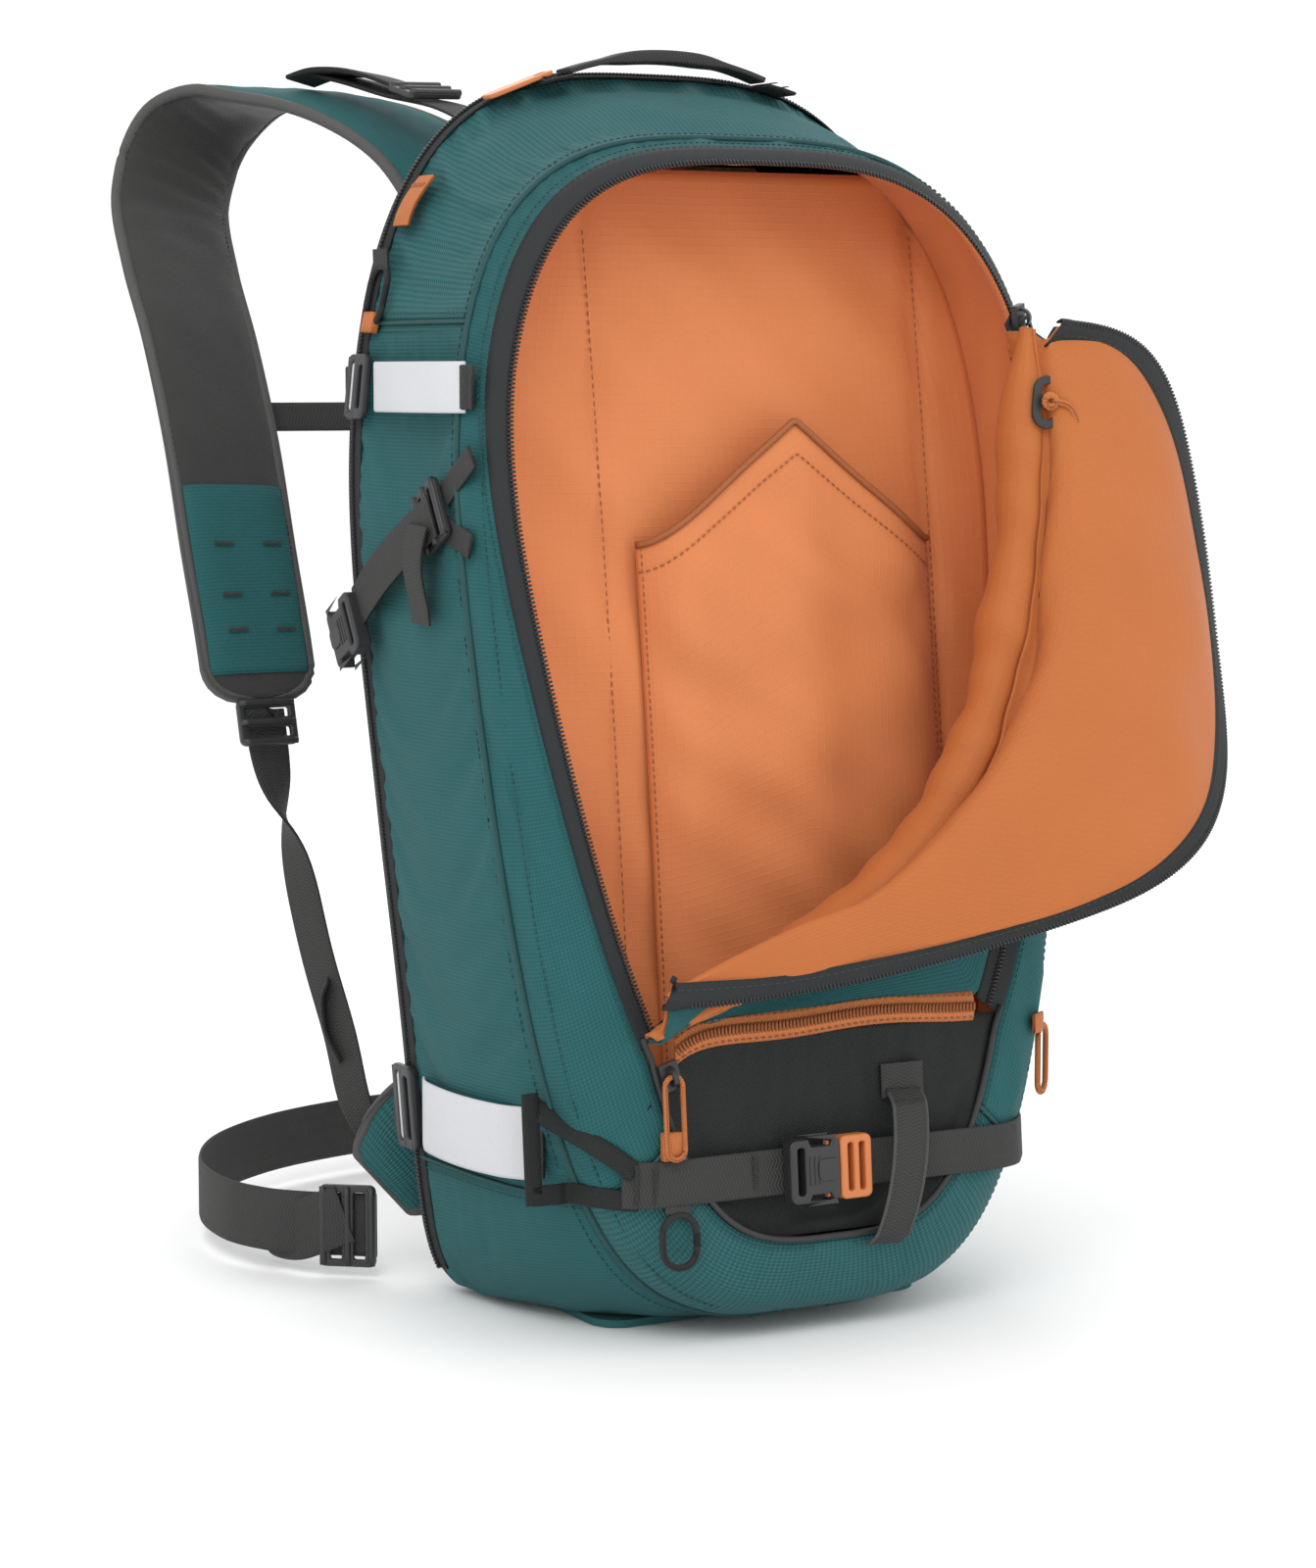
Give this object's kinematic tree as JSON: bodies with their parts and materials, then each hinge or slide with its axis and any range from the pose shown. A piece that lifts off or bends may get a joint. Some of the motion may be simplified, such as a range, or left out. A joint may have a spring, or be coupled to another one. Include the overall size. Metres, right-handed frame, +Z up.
{
  "type": "ski backpack",
  "caption": "Ski touring backpack with a folding front pocket flap, opening back panel, padded harness, hip belt, ski straps and tool sleeve.",
  "frame": {"origin": "the resting face of the base, below the middle of the bag", "axes": "+X to the right as seen from the front, +Y towards the back panel and harness, +Z up"},
  "size_m": [0.4273, 0.4842, 0.5675],
  "materials": {
    "teal_fabric": "plain-woven coated nylon",
    "teal_ripstop": "coarse basket-woven nylon",
    "charcoal_fabric": "matte woven nylon",
    "orange_lining": "light ripstop lining",
    "zip_tape": "coated zip tape",
    "orange_zip": "coated zip tape",
    "dark_webbing": "woven webbing",
    "light_webbing": "coated webbing",
    "black_plastic": "moulded acetal",
    "zip_metal": "moulded slider",
    "orange_plastic": "moulded acetal",
    "orange_cord": "braided cord",
    "black_cord": "braided cord",
    "strap_foam": "foam in knitted cover",
    "frame_plastic": "sheet polyethylene",
    "stay_alloy": "flat bar"
  },
  "bodies": {
    "pack": {"base_panel": "teal_ripstop", "side_panel_left": "teal_fabric", "side_panel_right": "teal_fabric", "top_yoke": "teal_ripstop", "bottom_boot": "teal_ripstop", "front_border": "teal_fabric", "front_boot": "teal_ripstop", "lower_front_panel": "charcoal_fabric", "front_corner_panel": "teal_fabric", "pocket_divider": "orange_lining", "tool_sleeve": "orange_lining", "front_zip": "zip_tape", "lower_zip": "orange_zip", "ski_webbing_upper": "light_webbing", "ski_webbing_lower": "light_webbing", "compression_anchors": "dark_webbing", "front_strap_anchors": "dark_webbing", "front_buckle_female": "black_plastic", "side_tabs": "orange_cord", "back_zip": "zip_tape"},
    "flap": {"flap": "orange_lining", "flap_eyelet": "black_plastic"},
    "back_panel": {"back_shell": "teal_fabric", "back_foam": "charcoal_fabric", "frame_sheet": "frame_plastic", "frame_stays": "stay_alloy", "lumbar_pad": "charcoal_fabric", "shoulder_strap_left": "strap_foam", "shoulder_strap_right": "strap_foam", "load_lifter_webbing": "dark_webbing", "strap_webbing": "dark_webbing", "hip_fins": "teal_ripstop", "hip_webbing_left": "dark_webbing", "hip_webbing_right": "dark_webbing", "hip_locks": "black_plastic", "hip_buckle_female": "black_plastic"},
    "sternum_strap": {"sternum_webbing": "dark_webbing", "sternum_female": "black_plastic"},
    "zip_slider_right": {"zip_slider_right": "zip_metal"},
    "zip_pull_right": {"zip_pull_right": "black_plastic"},
    "zip_slider_left": {"zip_slider_left": "zip_metal"},
    "zip_pull_left": {"zip_pull_left": "orange_cord"},
    "lower_zip_pull": {"lower_zip_pull": "orange_cord"},
    "ski_hook_upper_left": {"ski_hook_upper_left": "black_plastic"},
    "ski_hook_upper_right": {"ski_hook_upper_right": "black_plastic"},
    "ski_hook_lower_left": {"ski_hook_lower_left": "black_plastic"},
    "ski_hook_lower_right": {"ski_hook_lower_right": "black_plastic"},
    "compression_strap_left": {"compression_strap_left": "dark_webbing"},
    "compression_strap_right": {"compression_strap_right": "dark_webbing"},
    "front_buckle_male": {"front_buckle_male": "orange_plastic"},
    "front_tab": {"front_tab": "charcoal_fabric"},
    "axe_loop": {"axe_loop": "black_cord"},
    "gear_loop_left": {"gear_loop_left": "black_cord"},
    "gear_loop_right": {"gear_loop_right": "black_cord"},
    "haul_handle": {"haul_handle": "dark_webbing"},
    "top_zip_pull": {"top_zip_pull": "orange_cord"},
    "load_lifter_locks": {"load_lifter_locks": "black_plastic"},
    "strap_adjusters": {"strap_adjusters": "black_plastic"},
    "sternum_male": {"sternum_male": "black_plastic"},
    "hip_buckle_male": {"hip_buckle_male": "black_plastic"}
  },
  "joints": [
    {"name": "flap_fold", "type": "hinge", "parent": "pack", "child": "flap", "pos_m": [0.11947, -0.08851, 0.44], "axis": [-0.5766, -0.0979, -0.8112], "range_deg": [0, 170]},
    {"name": "back_panel_hinge", "type": "hinge", "parent": "pack", "child": "back_panel", "pos_m": [0, 0.032, 0.0037], "axis": [-1, 0, 0], "range_deg": [0, 60]},
    {"name": "right_slider_run", "type": "slide", "parent": "pack", "child": "zip_slider_right", "axis": [0.3069, -0.1375, -0.9417], "range_m": [0, 0.045]},
    {"name": "right_pull_swing", "type": "hinge", "parent": "zip_slider_right", "child": "zip_pull_right", "pos_m": [0.12819, -0.07246, 0.446], "axis": [-0.8188, -0.5426, -0.1877], "range_deg": [0, 90]},
    {"name": "left_slider_run", "type": "slide", "parent": "pack", "child": "zip_slider_left", "axis": [-0.2897, 0.0845, 0.9534], "range_m": [0, 0.045]},
    {"name": "left_pull_swing", "type": "hinge", "parent": "zip_slider_left", "child": "zip_pull_left", "pos_m": [-0.0803, -0.11827, 0.12253], "axis": [-1, 0, 0], "range_deg": [0, 120]},
    {"name": "lower_pull_swing", "type": "hinge", "parent": "pack", "child": "lower_zip_pull", "pos_m": [0.12615, -0.09492, 0.126], "axis": [-0.8, -0.6, 0], "range_deg": [0, 90]},
    {"name": "ski_hook_upper_left_turn", "type": "hinge", "parent": "pack", "child": "ski_hook_upper_left", "pos_m": [-0.15165, 0.051, 0.415], "axis": [-0.1068, 0, -0.9943], "range_deg": [0, 60]},
    {"name": "ski_hook_upper_right_turn", "type": "hinge", "parent": "pack", "child": "ski_hook_upper_right", "pos_m": [0.15165, 0.051, 0.415], "axis": [-0.1068, 0, 0.9943], "range_deg": [0, 60]},
    {"name": "ski_hook_lower_left_turn", "type": "hinge", "parent": "pack", "child": "ski_hook_lower_left", "pos_m": [-0.13409, 0.043, 0.089], "axis": [0.0784, 0, -0.9969], "range_deg": [0, 60]},
    {"name": "ski_hook_lower_right_turn", "type": "hinge", "parent": "pack", "child": "ski_hook_lower_right", "pos_m": [0.13409, 0.043, 0.089], "axis": [0.0784, 0, 0.9969], "range_deg": [0, 60]},
    {"name": "compression_left_swing", "type": "hinge", "parent": "pack", "child": "compression_strap_left", "pos_m": [-0.1523, -0.04782, 0.36578], "axis": [0, 0.507, 0.8619], "range_deg": [0, 60]},
    {"name": "compression_right_swing", "type": "hinge", "parent": "pack", "child": "compression_strap_right", "pos_m": [0.1523, -0.04782, 0.36578], "axis": [0, -0.507, -0.8619], "range_deg": [0, 60]},
    {"name": "front_buckle_release", "type": "slide", "parent": "pack", "child": "front_buckle_male", "axis": [1, 0, 0], "range_m": [0, 0.018]},
    {"name": "front_tab_lift", "type": "hinge", "parent": "pack", "child": "front_tab", "pos_m": [0.037, -0.11662, 0.106], "axis": [-1, 0, 0], "range_deg": [0, 80]},
    {"name": "axe_loop_swing", "type": "hinge", "parent": "pack", "child": "axe_loop", "pos_m": [-0.07817, -0.11923, 0.064], "axis": [-1, 0, 0], "range_deg": [0, 100]},
    {"name": "gear_loop_left_swing", "type": "hinge", "parent": "pack", "child": "gear_loop_left", "pos_m": [-0.13997, 0.04, 0.47], "axis": [0, 1, 0], "range_deg": [0, 80]},
    {"name": "gear_loop_right_swing", "type": "hinge", "parent": "pack", "child": "gear_loop_right", "pos_m": [0.13997, 0.04, 0.47], "axis": [0, -1, 0], "range_deg": [0, 80]},
    {"name": "haul_handle_tilt", "type": "hinge", "parent": "pack", "child": "haul_handle", "pos_m": [-0.05, 0.038, 0.55601], "axis": [1, 0, 0], "range_deg": [-8, 20]},
    {"name": "top_pull_lift", "type": "hinge", "parent": "pack", "child": "top_zip_pull", "pos_m": [-0.0889, 0.038, 0.54312], "axis": [0, -1, 0], "range_deg": [0, 60]},
    {"name": "lifter_lock_tilt", "type": "hinge", "parent": "back_panel", "child": "load_lifter_locks", "pos_m": [0, 0.12155, 0.54886], "axis": [1, 0, 0], "range_deg": [0, 20]},
    {"name": "strap_adjuster_tilt", "type": "hinge", "parent": "back_panel", "child": "strap_adjusters", "pos_m": [0, 0.1194, 0.259], "axis": [1, 0, 0], "range_deg": [0, 20]},
    {"name": "sternum_height", "type": "slide", "parent": "back_panel", "child": "sternum_strap", "axis": [0, 0.5628, 0.8266], "range_m": [-0.012, 0.012]},
    {"name": "sternum_release", "type": "slide", "parent": "sternum_strap", "child": "sternum_male", "axis": [1, 0, 0], "range_m": [0, 0.018]},
    {"name": "hip_buckle_release", "type": "slide", "parent": "back_panel", "child": "hip_buckle_male", "axis": [1, 0, 0], "range_m": [0, 0.024]}
  ]
}
